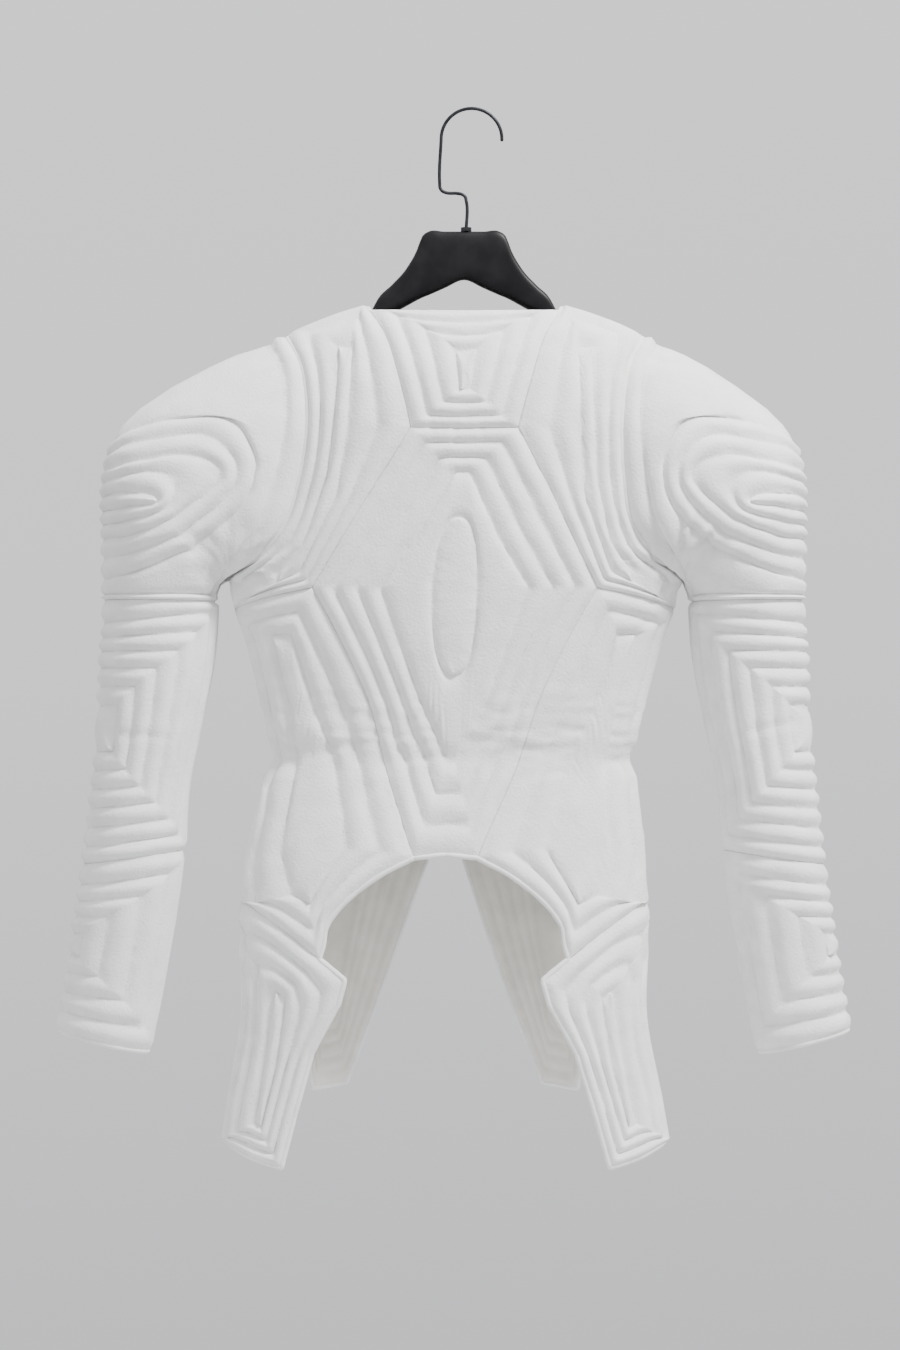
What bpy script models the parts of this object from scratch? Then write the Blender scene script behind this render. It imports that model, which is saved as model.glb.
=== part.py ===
"""Quilted fencing jacket, hung from the hook of a wide shoulder hanger.

Lengths in the tables are millimetres. Each cloth piece is a flat pattern piece: a loop of seams, quilted in
channels that repeat its outline down to a core, and laid on the form of the torso or of the sleeve.
Tables give a place as (out, down): out from the garment's centre line, down from the neck points.
The origin is the underside of the hook's crest. The garment's back faces -Y.
"""

import math

import bmesh
import bpy
import numpy as np

MM = 0.001

# Cloth wall: the padding is full at a channel's crown and pressed together at its stitches
WALL = 8.0
RISE = 3.2
SEAM_GAP = 0.3
CLOTH_STEP = 33.0
MERGE = 0.05
SHARP_ANGLE = 50

# The share of a core's length that its middle line leaves free at each end
SPINE_END = 0.1

# A channel's section, from one row of stitches to the next: share of its width, share of the rise
NARROW = ((0.5, 1.0), (1.0, 0.0))
WIDE = ((0.3, 1.0), (0.7, 1.0), (1.0, 0.0))

CAP_CHANNELS = [(1, NARROW), (1, WIDE), (2, NARROW), (2, NARROW)]

# Torso form
NECK_DROP = 180.4
ARMPIT_HALF_WIDTH = 214.0
SHOULDER_TOP = -11.8
SHOULDER_FALL = 0.001428
DOME_DROP = 120.0
DOME_ARC = 152.0
HALF_ARC = 225.0
FLATNESS = 0.8
INSIDE_DROP = 50.0

# down, half width, back depth, front depth
TORSO = np.array([
    (-20, 214, 70, 68),
    (150, 214, 70, 78),
    (256, 214, 68, 84),
    (283, 206, 66, 82),
    (322, 192, 62, 76),
    (368, 180, 57, 68),
    (402, 173, 54, 63),
    (421, 166, 52, 60),
    (440, 174, 54, 62),
    (508, 186, 62, 69),
    (560, 191, 68, 73),
    (613, 190, 71, 75),
    (672, 192, 70, 74),
    (729, 201, 68, 72),
    (800, 212, 66, 70),
], dtype=float)

# down, place of the centre line across: the jacket hangs a little to one side
CENTRE = np.array([
    (-80, -7.0),
    (120, -7.0),
    (266, -15.5),
    (410, -18.0),
    (510, -24.0),
    (600, -25.6),
    (800, -24.0),
], dtype=float)

# Sleeve form, station 0 armhole, 1 below the puff, 2 below the elbow, 3 cuff
# station, outer out, outer down, inner out, inner down, half depth, forward
SLEEVE = np.array([
    (0.00, 167, 28, 214, 256, 50, 0),
    (0.15, 214, 50, 214, 260, 62, 0),
    (0.30, 255, 73, 215, 263, 68, 0),
    (0.45, 293, 100, 216, 265, 71, 0),
    (0.60, 318, 128, 217, 267, 71, 0),
    (0.75, 328, 168, 218, 270, 67, 0),
    (0.88, 328, 220, 218, 273, 61, 1),
    (1.00, 327, 275, 218, 277, 55, 2),
    (1.25, 331, 330, 222, 330, 52, 4),
    (1.50, 333, 390, 233, 388, 49, 6),
    (1.75, 340, 455, 246, 448, 47, 10),
    (2.00, 348, 520, 250, 508, 46, 15),
    (2.33, 356, 572, 258, 566, 45, 20),
    (2.67, 364, 622, 269, 628, 43, 26),
    (3.00, 374, 676, 283, 698, 41, 32),
], dtype=float)
SLEEVE_CENTRE = -16.7
ARMHOLE_BLEND = 0.45
PUFF_MIDDLE = 0.6
SLEEVE_RADIUS = 58.0
CAP_LENGTH = 332.0
CAP_RISE = 300.0
RING_STEPS = 12
ELBOW_LENGTH = 238.0
FOREARM_LENGTH = 172.0

# Core of the quilting on a straight sleeve piece: share of the way round, its top and bottom as shares
# of the length, and the steps that a side is divided in
ELBOW_CORE = (0.3, 0.43, 0.6, 4)
FOREARM_CORE = (0.22, 0.42, 0.56, 3)

# The channel along the puff's edges, to the armhole and below, and the most of the pattern's height and
# the share of its width that are left
CAP_EDGE = 14.0
CAP_FOOT = 4.0
CAP_EDGE_SHARE = 0.3
CAP_EDGE_NARROWING = 0.92

# Nested loops quilted on the puff, in its flat pattern, from the middle out to the tip. Each row is a ray
# from the outer loop in to the core
# outer across, outer down, middle across, middle down, core across, core down
LOOPS_OVER = np.array([
    (0, 204, 0, 238, 0, 262),
    (17, 194, 20, 233, 20, 260),
    (29, 170, 40, 225, 38, 257),
    (39, 155, 54, 211, 50, 254),
    (47, 138, 63, 197, 60, 251),
    (56, 116, 71, 180, 69, 247),
    (78, 147, 80, 177, 77, 243),
    (95, 185, 89, 191, 82, 242.5),
    (106, 214, 95, 209, 84.5, 244.5),
    (115, 240, 99, 226, 85, 247),
    (121, 261, 101, 241, 84.5, 249.5),
    (124, 278, 101, 255, 83, 252),
], dtype=float)
LOOPS_UNDER = np.array([
    (0, 318, 0, 292, 0, 272),
    (38, 317, 32, 291, 26, 271),
    (74, 313, 62, 289, 50, 269),
    (107, 302, 88, 279, 70, 262),
    (125, 286, 99, 263, 81, 255),
], dtype=float)

# Raised oval on the centre back
OVAL_DOWN = 273.0
OVAL_HALF_WIDTH = 20.5
OVAL_HALF_HEIGHT = 72.0

# Hanger: out, top down, underside down, half thickness
HANGER = np.array([
    (0, -67.5, -22.5, 7.0),
    (18, -67.5, -15.0, 7.0),
    (34, -67.0, -8.0, 7.0),
    (39, -63.0, -6.0, 7.0),
    (44, -50.0, -3.5, 7.5),
    (53, -34.0, 1.5, 8.0),
    (67, -18.0, 9.0, 8.5),
    (80, -5.0, 15.5, 8.5),
    (87, 8.0, 21.0, 8.0),
    (94, 17.0, 28.0, 7.5),
    (106, 19.0, 37.0, 7.5),
    (120, 20.5, 44.0, 7.5),
    (135, 25.5, 50.0, 7.5),
    (148, 31.0, 53.0, 7.0),
    (155, 36.0, 50.0, 4.5),
], dtype=float)
HANGER_SIDES = 12
HANGER_ROUNDNESS = 0.75
HANGER_TOP = NECK_DROP - 67.5
HANGER_X = -7.0

# Hook: a round bend on the crest, then a stem that stands a little to one side of the hanger's middle
HOOK_WIRE = 3.2
HOOK_RADIUS = 28.2
BEND_START = -3
BEND_END = 181
BEND_STEP = 12
STEM_X = HANGER_X + 2.0

# Places of the wire from the bend's end down to the stem: across, down from the crest's underside
HOOK_FOOT = [
    (-29.6, 68.0),
    (-29.3, 72.0),
    (-27.4, 75.0),
    (-24.0, 76.6),
    (STEM_X - 8, 77.4),
    (STEM_X - 4, 78.2),
    (STEM_X - 1, 80.4),
    (STEM_X, 84.0),
    (STEM_X, HANGER_TOP - SEAM_GAP),
]
COLLAR_RADIUS = 5.0
COLLAR_HEIGHT = 3.5
COLLAR_SIDES = 20

CLOTH_COLOUR = (0.82, 0.82, 0.81, 1.0)
HANGER_COLOUR = (0.012, 0.012, 0.014, 1.0)
WIRE_COLOUR = (0.05, 0.055, 0.06, 1.0)


def smooth(table, column, at):
    """Smooth reading of a table's column at values of its first column."""
    xs = table[:, 0]
    ys = table[:, column]
    slopes = np.gradient(ys, xs)
    at = np.clip(at, xs[0], xs[-1])
    i = np.clip(np.searchsorted(xs, at, side="right") - 1, 0, len(xs) - 2)
    span = xs[i + 1] - xs[i]
    t = (at - xs[i]) / span
    start = (1 + 2 * t) * (1 - t) ** 2 * ys[i] + t * (1 - t) ** 2 * span * slopes[i]
    end = t * t * (3 - 2 * t) * ys[i + 1] + t * t * (t - 1) * span * slopes[i + 1]
    return start + end


def half_width(down):
    return smooth(TORSO, 1, down)


def side(down):
    """The place on the side seam at a height."""
    return (float(half_width(np.array(down))), down)


# Seams and free edges, each a smooth line through its points
SEAMS = {
    "neck_back": [(0, 9), (48, 8), (88, 6)],
    "neck_side": [(88, 6), (90, 3), (91, 0)],
    "neck_front": [(0, 75), (28, 71), (62, 50), (84, 22), (91, 0)],
    "shoulder": [(91, 0), (130, 12.3), (167, 28)],
    "armhole": [
        (167, 28), (152, 56), (145, 92), (144.5, 128), (149, 167),
        (158, 204), (181, 237), (200, 249), side(256),
    ],
    "yoke_side": [(88, 6), (72, 36), (59, 80), (49, 119)],
    "yoke_base": [(49, 119), (0, 120)],
    "blade": [(49, 119), (90, 190), (131, 265)],
    "bust": [(131, 265), (170, 273), side(283)],
    "side_top": [side(256), side(283)],
    "side_mid": [side(283), side(322), side(368), side(402), side(421), side(440), side(490), side(552)],
    "side_low": [side(552), side(590)],
    "waist_seam": [(131, 265), (104, 314), (78, 370), (62, 424), (45, 470), (29, 511)],
    "hem_centre": [(29, 511), (0, 508)],
    "arch": [(29, 511), (60, 527), (90, 550), (108, 573), (111, 590), (115, 604)],
    "tail_top": [(115, 604), (150, 578), side(552)],
    "tail_inner": [(115, 604), (91, 623), (97, 645), (122, 690), (139, 748), (152, 796)],
    "tail_end": [(152, 796), (180, 788), (209, 775)],
    "tail_outer": [(209, 775), (201, 729), (191, 672), (189, 628), side(590)],
    "front_hem": [side(590), (172, 614), (148, 655), (132, 695), (126, 735)],
    "front_tip": [(126, 735), (94, 730)],
    "front_cut": [(94, 730), (60, 640), (22, 530), (0, 465)],
    "centre_front": [(0, 465), (0, 75)],
}
CORNERED = ("tail_inner",)

# Each piece: its seams in order, the way each runs, and the places of the quilting's core beside it
# seam, way, core places (out, down)
YOKE = [
    ("neck_back", 1, [(0, 47), (5, 47)]),
    ("yoke_side", 1, [(9, 47), (5, 84)]),
    ("yoke_base", 1, [(5, 84)]),
]
CENTRE_BACK = [
    ("yoke_base", -1, [(0, 160), (5, 160)]),
    ("blade", 1, [(8, 163), (38, 220)]),
    ("waist_seam", 1, [(68, 266), (30, 370)]),
    ("hem_centre", 1, [(4, 424)]),
]
SIDE_BACK = [
    ("shoulder", 1, [(106, 42)]),
    ("armhole", 1, [(117, 42), (119, 100), (124, 165), (142, 226)]),
    ("side_top", 1, [(164, 251)]),
    ("bust", -1, [(163, 260)]),
    ("blade", -1, [(143, 250), (114, 181)]),
    ("yoke_side", -1, [(107, 120)]),
    ("neck_side", 1, [(104, 46)]),
]
SIDE_BACK_LOW = [
    ("bust", 1, [(150, 308)]),
    ("side_mid", 1, [(168, 308), (152, 372), (143, 424), (152, 508)]),
    ("tail_top", -1, [(140, 546)]),
    ("arch", -1, [(124, 554)]),
    ("waist_seam", -1, [(92, 503), (106, 428), (128, 376)]),
]
TAIL = [
    ("tail_top", 1, [(146, 641)]),
    ("side_low", 1, [(154, 636)]),
    ("tail_outer", -1, [(157, 640), (166, 700)]),
    ("tail_end", -1, [(176, 756)]),
    ("tail_inner", -1, [(170, 760), (154, 700)]),
]
FRONT = [
    ("neck_front", 1, [(64, 156)]),
    ("shoulder", 1, [(92, 104)]),
    ("armhole", 1, [(101, 106), (101, 200)]),
    ("side_top", 1, [(130, 286)]),
    ("side_mid", 1, [(131, 300), (110, 421)]),
    ("side_low", 1, [(126, 530)]),
    ("front_hem", 1, [(127, 548)]),
    ("front_tip", 1, [(110, 668)]),
    ("front_cut", 1, [(104, 664)]),
    ("centre_front", 1, [(72, 468), (68, 400)]),
]


def signed_power(value, power):
    return np.sign(value) * np.abs(value) ** power


def to_cloth(places):
    """Places seen from straight on, as places in the torso's unrolled cloth."""
    out, down = places[:, 0], places[:, 1]
    across = np.clip(out / half_width(down), -1, 1)
    below = down - shoulder_line(ARMPIT_HALF_WIDTH * across)
    turn = np.arccos(np.clip(1 - below / DOME_DROP, 0, 1))
    length = np.where(below < DOME_DROP, turn * DOME_ARC * 2 / math.pi, DOME_ARC + below - DOME_DROP)
    return np.column_stack([np.arcsin(across) * HALF_ARC * 2 / math.pi, length])


def shoulder_line(out):
    return SHOULDER_TOP + SHOULDER_FALL * out * out


def centre_line(down):
    return smooth(CENTRE, 1, down)


def torso_place(cloth, front):
    """Cloth places on the outside of the torso, in world millimetres."""
    across = cloth[:, 0] * math.pi / 2 / HALF_ARC
    length = cloth[:, 1]
    turn = np.clip(length / DOME_ARC, -1, 1) * math.pi / 2
    below = np.where(length < DOME_ARC, DOME_DROP * (1 - np.cos(turn)), DOME_DROP + length - DOME_ARC)
    down = shoulder_line(ARMPIT_HALF_WIDTH * np.sin(across)) + below
    depth = smooth(TORSO, 3 if front else 2, down) * np.sin(turn) * signed_power(np.cos(across), FLATNESS)
    x = centre_line(down) + half_width(down) * np.sin(across)
    return np.column_stack([x, depth if front else -depth, -NECK_DROP - down])


def line_through(points, count=None, cornered=False):
    """Places along a smooth or a cornered line, evenly spaced on the cloth, about CLOTH_STEP apart."""
    points = np.array(points, dtype=float)
    tangents = np.gradient(points, axis=0)
    t = np.linspace(0, 1, 17)[:-1, None]
    runs = []
    for a, b, ta, tb in zip(points[:-1], points[1:], tangents[:-1], tangents[1:]):
        if cornered or len(points) == 2:
            runs.append(a + (b - a) * t)
            continue
        start = (1 + 2 * t) * (1 - t) ** 2 * a + t * (1 - t) ** 2 * ta
        runs.append(start + t * t * (3 - 2 * t) * b + t * t * (t - 1) * tb)
    dense = np.vstack(runs + [points[-1:]])
    steps = np.linalg.norm(np.diff(torso_place(to_cloth(dense), False), axis=0), axis=1)
    along = np.concatenate([[0], np.cumsum(steps)])
    if count is None:
        count = max(1, round(along[-1] / CLOTH_STEP))
    at = np.linspace(0, along[-1], count + 1)
    return np.column_stack([np.interp(at, along, dense[:, k]) for k in (0, 1)])


SEAM_LINES = {name: line_through(points, cornered=name in CORNERED) for name, points in SEAMS.items()}
SEAM_LINES["shoulder"][:, 1] = shoulder_line(SEAM_LINES["shoulder"][:, 0])
ARMHOLE_STEPS = len(SEAM_LINES["armhole"]) - 1


def torso_inside(places):
    """A point well inside the torso for each place on it, which tells outward from inward."""
    centre = centre_line(-NECK_DROP - places[:, 2])
    x = (centre + places[:, 0]) / 2
    return np.column_stack([x, np.zeros(len(places)), places[:, 2] - INSIDE_DROP])


def armhole_place(angle, hand):
    """The armhole at an angle round the sleeve: 0 at the shoulder tip, +-pi at the armpit, + behind."""
    line = line_through(SEAMS["armhole"], count=4 * ARMHOLE_STEPS)
    at = np.abs(angle) / math.pi * (len(line) - 1)
    places = np.column_stack([np.interp(at, np.arange(len(line)), line[:, k]) for k in (0, 1)])
    places[:, 0] *= hand
    cloth = to_cloth(places)
    behind = torso_place(cloth, False)
    ahead = torso_place(cloth, True)
    return np.where((angle >= 0)[:, None], behind, ahead)


def sleeve_ring(angle, station, hand):
    values = [smooth(SLEEVE, k, station) for k in range(1, 7)]
    outer_out, outer_down, inner_out, inner_down, half_depth, forward = values
    middle_out = (outer_out + inner_out) / 2
    middle_down = (outer_down + inner_down) / 2
    out = middle_out + (outer_out - inner_out) / 2 * np.cos(angle)
    down = middle_down + (outer_down - inner_down) / 2 * np.cos(angle)
    y = forward - half_depth * np.sin(angle)
    return np.column_stack([SLEEVE_CENTRE + hand * out, y, -NECK_DROP - down])


def sleeve_place(angle, station, hand):
    """A place on the outside of the sleeve, which grows out of the armhole's line."""
    t = np.clip(station / ARMHOLE_BLEND, 0, 1)
    share = ((1 - t) ** 2 * (1 + t))[:, None]
    start = sleeve_ring(angle, np.zeros_like(station), hand)
    return sleeve_ring(angle, station, hand) + share * (armhole_place(angle, hand) - start)


def sleeve_inside(station, hand):
    """The middle of the sleeve at each station. The puff's armhole end looks to the puff's own middle."""
    station = np.maximum(station, PUFF_MIDDLE)
    top = sleeve_ring(np.zeros_like(station), station, hand)
    bottom = sleeve_ring(np.full_like(station, math.pi), station, hand)
    return (top + bottom) / 2


def torso_form(front):
    def form(cloth):
        places = torso_place(cloth, front)
        return places, torso_inside(places)

    return form


def cap_top(across):
    """The top edge of the puff's flat pattern, a bell that meets the armhole."""
    return CAP_RISE * (1 - np.cos(across / SLEEVE_RADIUS)) / 2


def sleeve_form(hand, start, length):
    def form(cloth):
        angle = cloth[:, 0] / SLEEVE_RADIUS
        top = cap_top(cloth[:, 0]) if start == 0 else 0.0
        station = start + (cloth[:, 1] - top) / (length - top)
        return sleeve_place(angle, station, hand), sleeve_inside(station, hand)

    return form


def outward(form, cloth):
    """The form's places with their outward directions, from small steps to either side."""
    step = 0.4
    places, inside = form(cloth)
    across = form(cloth + (step, 0))[0] - form(cloth - (step, 0))[0]
    down = form(cloth + (0, step))[0] - form(cloth - (0, step))[0]
    direction = np.cross(across, down)
    direction /= np.linalg.norm(direction, axis=1)[:, None]
    flip = np.sign(np.einsum("ij,ij->i", direction, places - inside))
    return places, direction * flip[:, None]


def along_core(places, following, count):
    """Places evenly shared out along a stretch of core, up to where the next stretch starts."""
    line = np.array(places + [following], dtype=float)
    at = np.linspace(0, len(line) - 1, count + 1)
    return np.column_stack([np.interp(at, np.arange(len(line)), line[:, k]) for k in (0, 1)])


def pattern(rows, hand=1, mirrored=False):
    """A piece's outline and core, as matching loops. A mirrored piece has both halves."""
    outline = []
    core = []
    for k, (seam, way, places) in enumerate(rows):
        line = SEAM_LINES[seam][::way]
        middle = mirrored and k == len(rows) - 1
        following = (0, places[-1][1]) if middle else rows[(k + 1) % len(rows)][2][0]
        stop = len(line) if middle else len(line) - 1
        outline.append(line[:stop])
        core.append(along_core(places, following, len(line) - 1)[:stop])
    outline = np.vstack(outline)
    core = np.vstack(core)
    if mirrored:
        other = slice(len(outline) - 2, 0, -1)
        outline = np.vstack([outline, outline[other] * (-1, 1)])
        core = np.vstack([core, core[other] * (-1, 1)])
    return outline * (hand, 1), core * (hand, 1)


def oval_inside(core):
    """The raised oval's edge, met by each ray from its middle to a point of the core."""
    rays = (core - (0, OVAL_DOWN)) / (OVAL_HALF_WIDTH, OVAL_HALF_HEIGHT)
    rays /= np.linalg.norm(rays, axis=1)[:, None]
    return rays * (OVAL_HALF_WIDTH, OVAL_HALF_HEIGHT) + (0, OVAL_DOWN)


def rectangle(left, right, top, bottom, steps_across, steps_down):
    """A loop along the bottom, up the right side, back along the top and down the left side."""
    across = np.linspace(left, right, steps_across + 1)[:-1]
    up = np.linspace(bottom, top, steps_down + 1)[:-1]
    return np.vstack([
        np.column_stack([across, np.full(len(across), bottom)]),
        np.column_stack([np.full(len(up), right), up]),
        np.column_stack([left + right - across, np.full(len(across), top)]),
        np.column_stack([np.full(len(up), left), top + bottom - up]),
    ])


def sleeve_loops(length, core_share, core_top, core_bottom, steps_down):
    """A straight sleeve piece and its quilting's core, centred on the outer side of the arm."""
    half = math.pi * SLEEVE_RADIUS
    outline = rectangle(-half, half, 0, length, RING_STEPS, steps_down)
    core_half = half * core_share
    core = rectangle(-core_half, core_half, core_top * length, core_bottom * length, RING_STEPS, steps_down)
    return outline, core


def spread(rows, count):
    """A table's rows shared out evenly over a count of steps."""
    at = np.linspace(0, len(rows) - 1, count + 1)
    return np.column_stack([np.interp(at, np.arange(len(rows)), column) for column in rows.T])


def both_halves(column):
    """A closed loop from its columns: under it from left to right, then back over it."""
    lower = spread(LOOPS_UNDER[:, column:column + 2], RING_STEPS // 2)
    upper = spread(LOOPS_OVER[:, column:column + 2], ARMHOLE_STEPS)
    return np.vstack([lower[:0:-1] * (-1, 1), lower, upper[::-1], upper[1:] * (-1, 1)])


def cap_loops():
    """The puff: its outline, one channel in from it, the outer and the middle loop, and the core."""
    half = math.pi * SLEEVE_RADIUS
    below = np.linspace(-half, half, RING_STEPS + 1)
    above = np.linspace(half, -half, 2 * ARMHOLE_STEPS + 1)

    def edge(inset, foot, share):
        room_below = CAP_LENGTH - cap_top(below * share)
        room_above = CAP_LENGTH - cap_top(above * share)
        lower = CAP_LENGTH - np.minimum(foot, CAP_EDGE_SHARE * room_below)
        upper = CAP_LENGTH - room_above + np.minimum(inset, CAP_EDGE_SHARE * room_above)
        return np.vstack([np.column_stack([below * share, lower]), np.column_stack([above * share, upper])])

    return [
        edge(0.0, 0.0, 1.0),
        edge(CAP_EDGE, CAP_FOOT, CAP_EDGE_NARROWING),
        both_halves(0),
        both_halves(2),
        both_halves(4),
    ]


def quilted_rings(loops, channels, inner_step):
    """Rings from outline to core: the loop, its share of the rise, and if the plain inside has it."""
    away = np.linalg.norm(loops[1] - loops[0], axis=1)[:, None]
    rings = [(loops[0] + (loops[1] - loops[0]) * (SEAM_GAP / away), 0.0, True)]
    for near, far, (count, profile) in zip(loops[:-1], loops[1:], channels):
        for channel in range(count):
            for share, raised in profile:
                plain = profile is WIDE or (raised == 0 and (channel + 1) % inner_step == 0)
                rings.append((near + (far - near) * (channel + share) / count, raised, plain))
    return rings


def spine(ring):
    """The middle line of a core: its places, and which of them each of the core's own places joins."""
    count = len(ring)
    apart = np.linalg.norm(ring[:, None] - ring[None], axis=2)
    first, last = sorted(np.unravel_index(np.argmax(apart), apart.shape))
    one_side = np.arange(first, last + 1)
    other_side = np.arange(last, first + count + 1)[::-1] % count
    steps = min(len(one_side), len(other_side)) - 1
    shares = SPINE_END + (1 - 2 * SPINE_END) * np.arange(steps + 1) / steps
    places = np.zeros((steps + 1, 2))
    joins = np.zeros(count, dtype=int)
    for way in (one_side, other_side):
        at = shares * (len(way) - 1)
        for k in (0, 1):
            places[:, k] += np.interp(at, np.arange(len(way)), ring[way, k]) / 2
        joins[way] = np.round(np.arange(len(way)) * steps / (len(way) - 1)).astype(int)
    return places, joins


def surface(mesh, form, rings, depths, crown):
    """Skin one side of the cloth: a row for each ring, then the spine of the core."""
    middle, joins = spine(rings[-1])
    rows = []
    for cloth, depth in zip(rings + [middle], depths + [crown]):
        places, direction = outward(form, cloth)
        rows.append([mesh.verts.new(p * MM) for p in places - direction * depth])
    ridge = rows.pop()
    count = len(rows[0])
    for i in range(count):
        j = (i + 1) % count
        for near, far in zip(rows[:-1], rows[1:]):
            mesh.faces.new([near[i], near[j], far[j], far[i]])
        corners = [rows[-1][i], rows[-1][j], ridge[joins[j]]]
        if joins[i] != joins[j]:
            corners.append(ridge[joins[i]])
        mesh.faces.new(corners)
    return rows[0]


def panel(name, form, loops, channels, inner_step, material, collection):
    """A closed cloth piece: raised channels outside, a plain inside, and a rim round its outline."""
    rings = quilted_rings(loops, channels, inner_step)
    inside = [loop for loop, _, plain in rings if plain]
    mesh = bmesh.new()
    outer = surface(mesh, form, [ring[0] for ring in rings], [RISE * (1 - ring[1]) for ring in rings], 0.0)
    inner = surface(mesh, form, inside, [WALL] * len(inside), WALL)
    count = len(outer)
    for i in range(count):
        j = (i + 1) % count
        mesh.faces.new([outer[j], outer[i], inner[i], inner[j]])
    bmesh.ops.triangulate(mesh, faces=mesh.faces[:], quad_method="SHORT_EDGE")
    bmesh.ops.recalc_face_normals(mesh, faces=mesh.faces[:])
    return finish(mesh, name, material, collection)


def finish(mesh, name, material, collection):
    data = bpy.data.meshes.new(name)
    mesh.to_mesh(data)
    mesh.free()
    data.shade_smooth()
    data.set_sharp_from_angle(angle=math.radians(SHARP_ANGLE))
    data.materials.append(material)
    thing = bpy.data.objects.new(name, data)
    collection.objects.link(thing)
    return thing


def material(name, colour, roughness, metallic):
    made = bpy.data.materials.new(name)
    made.use_nodes = True
    shader = made.node_tree.nodes["Principled BSDF"]
    shader.inputs["Base Color"].default_value = colour
    shader.inputs["Roughness"].default_value = roughness
    shader.inputs["Metallic"].default_value = metallic
    return made


def cloth(name):
    return material(name, CLOTH_COLOUR, 0.9, 0.0)


def add_torso(collection):
    """The back's seven pieces and the two fronts."""
    outline, core = pattern(YOKE, mirrored=True)
    loops = [to_cloth(outline), to_cloth(core)]
    panel("back_yoke", torso_form(False), loops, [(3, NARROW)], 1, cloth("yoke_cloth"), collection)
    outline, core = pattern(CENTRE_BACK, mirrored=True)
    loops = [to_cloth(outline), to_cloth(core), to_cloth(oval_inside(core))]
    channels = [(3, NARROW), (1, NARROW)]
    panel("back_centre", torso_form(False), loops, channels, 1, cloth("centre_cloth"), collection)
    for hand, label in ((-1, "left"), (1, "right")):
        for name, rows, count, front in (
            ("back_side_upper", SIDE_BACK, 2, False),
            ("back_side_lower", SIDE_BACK_LOW, 2, False),
            ("back_tail", TAIL, 3, False),
            ("front", FRONT, 5, True),
        ):
            full_name = f"{name}_{label}"
            loops = [to_cloth(loop) for loop in pattern(rows, hand)]
            skin = cloth(full_name + "_cloth")
            panel(full_name, torso_form(front), loops, [(count, NARROW)], 1, skin, collection)


def add_sleeves(collection):
    """Each sleeve's puff, elbow and forearm pieces, rolled up and meeting under the arm."""
    for hand, label in ((-1, "left"), (1, "right")):
        for part, start, length, loops, channels, inner_step in (
            ("cap", 0, CAP_LENGTH, cap_loops(), CAP_CHANNELS, 1),
            ("elbow", 1, ELBOW_LENGTH, sleeve_loops(ELBOW_LENGTH, *ELBOW_CORE), [(6, NARROW)], 2),
            ("forearm", 2, FOREARM_LENGTH, sleeve_loops(FOREARM_LENGTH, *FOREARM_CORE), [(4, NARROW)], 2),
        ):
            name = f"sleeve_{part}_{label}"
            form = sleeve_form(hand, start, length)
            panel(name, form, loops, channels, inner_step, cloth(name + "_cloth"), collection)


def add_hanger_body(collection):
    """A moulded arm to each side, lofted through upright rounded sections."""
    rows = np.vstack([HANGER[:0:-1] * (-1, 1, 1, 1), HANGER])
    mesh = bmesh.new()
    sections = []
    for out, top, bottom, half_thick in rows:
        middle = (top + bottom) / 2
        half_height = (bottom - top) / 2
        section = []
        for k in range(HANGER_SIDES):
            angle = 2 * math.pi * (k + 0.5) / HANGER_SIDES
            y = half_thick * signed_power(math.cos(angle), HANGER_ROUNDNESS)
            down = middle - half_height * signed_power(math.sin(angle), HANGER_ROUNDNESS)
            section.append(mesh.verts.new(((HANGER_X + out) * MM, y * MM, (-NECK_DROP - down) * MM)))
        sections.append(section)
    for near, far in zip(sections[:-1], sections[1:]):
        for i in range(HANGER_SIDES):
            j = (i + 1) % HANGER_SIDES
            mesh.faces.new([near[i], near[j], far[j], far[i]])
    mesh.faces.new(sections[0])
    mesh.faces.new(sections[-1])
    bmesh.ops.recalc_face_normals(mesh, faces=mesh.faces[:])
    finish(mesh, "hanger_body", material("hanger_plastic", HANGER_COLOUR, 0.45, 0.0), collection)


def add_hook(collection):
    """The bent wire hook, from the crest round and down to the top of the hanger."""
    half_wire = HOOK_WIRE / 2
    bend_down = HOOK_RADIUS - half_wire
    route = []
    for degrees in range(BEND_START, BEND_END, BEND_STEP):
        angle = math.radians(degrees)
        route.append((HOOK_RADIUS * math.cos(angle), bend_down - HOOK_RADIUS * math.sin(angle)))
    route += HOOK_FOOT
    data = bpy.data.curves.new("hanger_hook", "CURVE")
    data.dimensions = "3D"
    data.bevel_depth = half_wire * MM
    data.bevel_resolution = 2
    data.use_fill_caps = True
    spline = data.splines.new("POLY")
    spline.points.add(len(route) - 1)
    for point, (x, down) in zip(spline.points, route):
        point.co = (x * MM, 0, -down * MM, 1)
    data.materials.append(material("hook_steel", WIRE_COLOUR, 0.4, 0.8))
    collection.objects.link(bpy.data.objects.new("hanger_hook", data))


def add_collar(collection):
    """The short ring that the wire leaves the hanger through."""
    profile = bmesh.new()
    bore = HOOK_WIRE / 2 + SEAM_GAP
    foot = HANGER_TOP - SEAM_GAP
    top = foot - COLLAR_HEIGHT
    corners = [(COLLAR_RADIUS, top), (COLLAR_RADIUS, foot), (bore, foot), (bore, top)]
    verts = [profile.verts.new((r * MM, 0, -down * MM)) for r, down in corners]
    for k in range(4):
        profile.edges.new((verts[k], verts[(k + 1) % 4]))
    collar = finish(profile, "hanger_collar", material("collar_steel", WIRE_COLOUR, 0.45, 0.8), collection)
    collar.location.x = STEM_X * MM
    screw = collar.modifiers.new("turn", "SCREW")
    screw.steps = COLLAR_SIDES
    screw.render_steps = COLLAR_SIDES
    screw.use_merge_vertices = True
    screw.merge_threshold = MERGE * MM


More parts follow.
